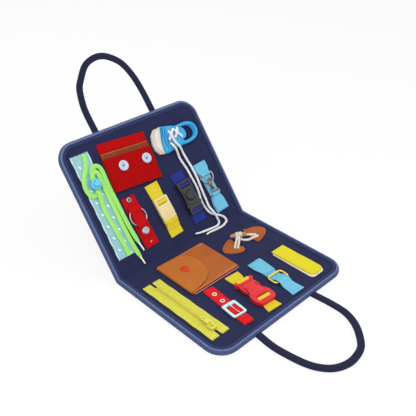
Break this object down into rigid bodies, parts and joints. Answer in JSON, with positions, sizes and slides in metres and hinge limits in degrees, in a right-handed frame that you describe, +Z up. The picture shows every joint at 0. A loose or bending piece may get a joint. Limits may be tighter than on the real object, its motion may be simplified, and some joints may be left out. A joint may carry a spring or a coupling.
{
  "type": "cloth activity book",
  "caption": "Folding felt activity book with two handled covers carrying fastenings to practise: zip, snaps, buckles, clip, toggle, laces, buttons, straps and a hook, shown half open.",
  "frame": {"origin": "centre of the front cover's flat underside, which rests on the floor", "axes": "+Z up; +X along the spine, to the right as the book is read; +Y from the lying front cover to the spine"},
  "size_m": [0.26, 0.5177, 0.2546],
  "materials": {
    "navy_felt": "matte",
    "denim_tape": "woven",
    "navy_webbing": "woven",
    "grey_board": "matte",
    "lime_nylon": "ribbed",
    "tan_leather": "satin",
    "orange_cap": "gloss",
    "cream_rope": "braided",
    "red_felt": "matte",
    "red_webbing": "woven",
    "red_plastic": "gloss",
    "pale_metal": "gloss",
    "gold_metal": "polished",
    "silver_metal": "polished",
    "yellow_webbing": "woven",
    "cream_webbing": "woven",
    "sky_webbing": "woven",
    "teal_ribbon": "satin",
    "green_lace": "woven",
    "blue_plastic": "gloss",
    "pale_plastic": "gloss",
    "cream_plastic": "satin",
    "black_plastic": "satin",
    "white_rubber": "matte",
    "blue_foam": "matte",
    "white_lace": "woven"
  },
  "bodies": {
    "front_cover": {"front_outer_cloth": "navy_felt", "front_board": "grey_board", "front_lining": "navy_felt", "front_binding": "denim_tape", "zip_tape": "lime_nylon", "wallet_pocket": "tan_leather", "toggle_patch_left": "tan_leather", "toggle_patch_right": "tan_leather", "belt_strap": "red_webbing", "belt_tab": "red_webbing", "clip_strap": "yellow_webbing", "clip_socket": "red_plastic", "slider_strap": "sky_webbing", "hook_strip": "cream_webbing"},
    "spine_front": {"spine_front": "navy_felt"},
    "spine_back": {"spine_back": "navy_felt"},
    "back_cover": {"back_outer_cloth": "navy_felt", "back_board": "grey_board", "back_lining": "navy_felt", "back_binding": "denim_tape", "ribbon": "teal_ribbon", "green_lace_upper": "green_lace", "green_lace_lower": "green_lace", "pocket_back": "red_felt", "pocket_leather": "tan_leather", "button_left": "pale_plastic", "button_right": "pale_plastic", "shoe_toe_cap": "white_rubber", "shoe_upper": "blue_foam", "lace_left": "white_lace", "lace_right": "white_lace", "snap_strap_base": "red_webbing", "o_ring": "silver_metal", "yellow_strap": "yellow_webbing", "cream_socket": "cream_plastic", "navy_strap": "navy_webbing", "push_buckle_body": "black_plastic", "hook_strap": "sky_webbing", "d_ring": "silver_metal", "snap_hook": "silver_metal"},
    "front_handle": {"front_handle": "navy_webbing"},
    "back_handle": {"back_handle": "navy_webbing"},
    "zip_slider": {"zip_slider": "lime_nylon"},
    "zip_pull": {"zip_pull": "lime_nylon"},
    "wallet_flap": {"wallet_flap": "tan_leather", "wallet_snap": "orange_cap"},
    "toggle_peg": {"toggle_peg": "cream_rope"},
    "pin_buckle_frame": {"pin_buckle_frame": "pale_metal"},
    "pin_buckle_prong": {"pin_buckle_prong": "pale_metal"},
    "clip_plug": {"clip_plug": "red_plastic"},
    "slider_ring": {"slider_ring": "gold_metal"},
    "loop_strap": {"loop_strap": "yellow_webbing"},
    "cord_lock_body": {"cord_lock_body": "blue_plastic"},
    "cord_lock_button": {"cord_lock_button": "blue_plastic"},
    "pocket_flap": {"pocket_flap": "red_felt"},
    "snap_tongue": {"snap_strap_tongue": "red_webbing"},
    "cream_plug": {"cream_plug": "cream_plastic"},
    "push_buckle_plug": {"push_buckle_plug": "black_plastic"},
    "push_button": {"push_button": "black_plastic"},
    "hook_gate": {"hook_gate": "silver_metal"}
  },
  "joints": [
    {"name": "front_fold", "type": "hinge", "parent": "front_cover", "child": "spine_front", "pos_m": [0, 0.0955, 0.0061], "axis": [-1, 0, 0], "range_deg": [-90, 0]},
    {"name": "crease_fold", "type": "hinge", "parent": "spine_front", "child": "spine_back", "pos_m": [0, 0.1111, 0.0061], "axis": [1, 0, 0], "range_deg": [-52.3, 20], "deforming": ["lace_left", "lace_right"]},
    {"name": "back_fold", "type": "hinge", "parent": "spine_back", "child": "back_cover", "pos_m": [0, 0.12064, 0.01844], "axis": [-1, 0, 0], "range_deg": [-90, 0], "deforming": ["green_lace_lower"]},
    {"name": "front_handle_swing", "type": "hinge", "parent": "front_cover", "child": "front_handle", "pos_m": [0, -0.0983, 0.0025], "axis": [-1, 0, 0], "range_deg": [-90, 90]},
    {"name": "back_handle_swing", "type": "hinge", "parent": "back_cover", "child": "back_handle", "pos_m": [0, 0.242, 0.16958], "axis": [1, 0, 0], "range_deg": [-90, 90]},
    {"name": "zip_slide", "type": "slide", "parent": "front_cover", "child": "zip_slider", "axis": [0, 1, 0], "range_m": [0, 0.1]},
    {"name": "zip_pull_flip", "type": "hinge", "parent": "zip_slider", "child": "zip_pull", "pos_m": [-0.1, -0.0485, 0.0128], "axis": [1, 0, 0], "range_deg": [0, 160]},
    {"name": "wallet_flap_turn", "type": "hinge", "parent": "front_cover", "child": "wallet_flap", "pos_m": [-0.0715, 0.0915, 0.0105], "axis": [0, -1, 0], "range_deg": [0, 150]},
    {"name": "toggle_lift", "type": "hinge", "parent": "front_cover", "child": "toggle_peg", "pos_m": [0.052, 0.0955, 0.0103], "axis": [0, -1, 0], "range_deg": [0, 100]},
    {"name": "pin_buckle_swing", "type": "hinge", "parent": "front_cover", "child": "pin_buckle_frame", "pos_m": [-0.05693, -0.05824, 0.00975], "axis": [0.9962, -0.0872, 0], "range_deg": [0, 60]},
    {"name": "prong_swing", "type": "hinge", "parent": "pin_buckle_frame", "child": "pin_buckle_prong", "pos_m": [-0.05693, -0.05824, 0.00975], "axis": [0.9962, -0.0872, 0], "range_deg": [0, 80]},
    {"name": "clip_release", "type": "slide", "parent": "front_cover", "child": "clip_plug", "axis": [0.0785, 0.9969, 0], "range_m": [0, 0.024], "deforming": ["clip_strap"]},
    {"name": "slider_ring_swing", "type": "hinge", "parent": "front_cover", "child": "slider_ring", "pos_m": [0.03701, -0.05146, 0.0093], "axis": [0.9994, -0.0349, 0], "range_deg": [0, 70]},
    {"name": "loop_strap_peel", "type": "hinge", "parent": "front_cover", "child": "loop_strap", "pos_m": [0.087, -0.0015, 0.009], "axis": [-1, 0, 0], "range_deg": [0, 120]},
    {"name": "cord_lock_slide", "type": "slide", "parent": "back_cover", "child": "cord_lock_body", "axis": [0, -0.6115, -0.7912], "range_m": [0, 0.06], "deforming": ["green_lace_upper", "green_lace_lower"]},
    {"name": "cord_lock_press", "type": "slide", "parent": "cord_lock_body", "child": "cord_lock_button", "axis": [0, 0.7912, -0.6115], "range_m": [0, 0.0025], "stiffness_N_per_m": 400},
    {"name": "pocket_flap_turn", "type": "hinge", "parent": "back_cover", "child": "pocket_flap", "pos_m": [-0.03015, 0.17544, 0.09704], "axis": [0.9973, -0.0448, -0.0579], "range_deg": [0, 110]},
    {"name": "snap_tongue_lift", "type": "hinge", "parent": "back_cover", "child": "snap_tongue", "pos_m": [-0.05663, 0.16125, 0.0754], "axis": [-0.9984, -0.0341, -0.0442], "range_deg": [0, 80]},
    {"name": "cream_release", "type": "slide", "parent": "back_cover", "child": "cream_plug", "axis": [0.0576, -0.6105, -0.7899], "range_m": [0, 0.02], "deforming": ["yellow_strap"]},
    {"name": "push_buckle_release", "type": "slide", "parent": "back_cover", "child": "push_buckle_plug", "axis": [0.0593, -0.6105, -0.7898], "range_m": [0, 0.015], "deforming": ["navy_strap"]},
    {"name": "push_button_press", "type": "slide", "parent": "back_cover", "child": "push_button", "axis": [0, 0.7912, -0.6115], "range_m": [0, 0.0015], "stiffness_N_per_m": 400},
    {"name": "hook_gate_open", "type": "hinge", "parent": "back_cover", "child": "hook_gate", "pos_m": [0.09283, 0.14274, 0.05228], "axis": [0, -0.7912, 0.6115], "range_deg": [0, 35], "stiffness_Nm_per_rad": 0.002}
  ]
}
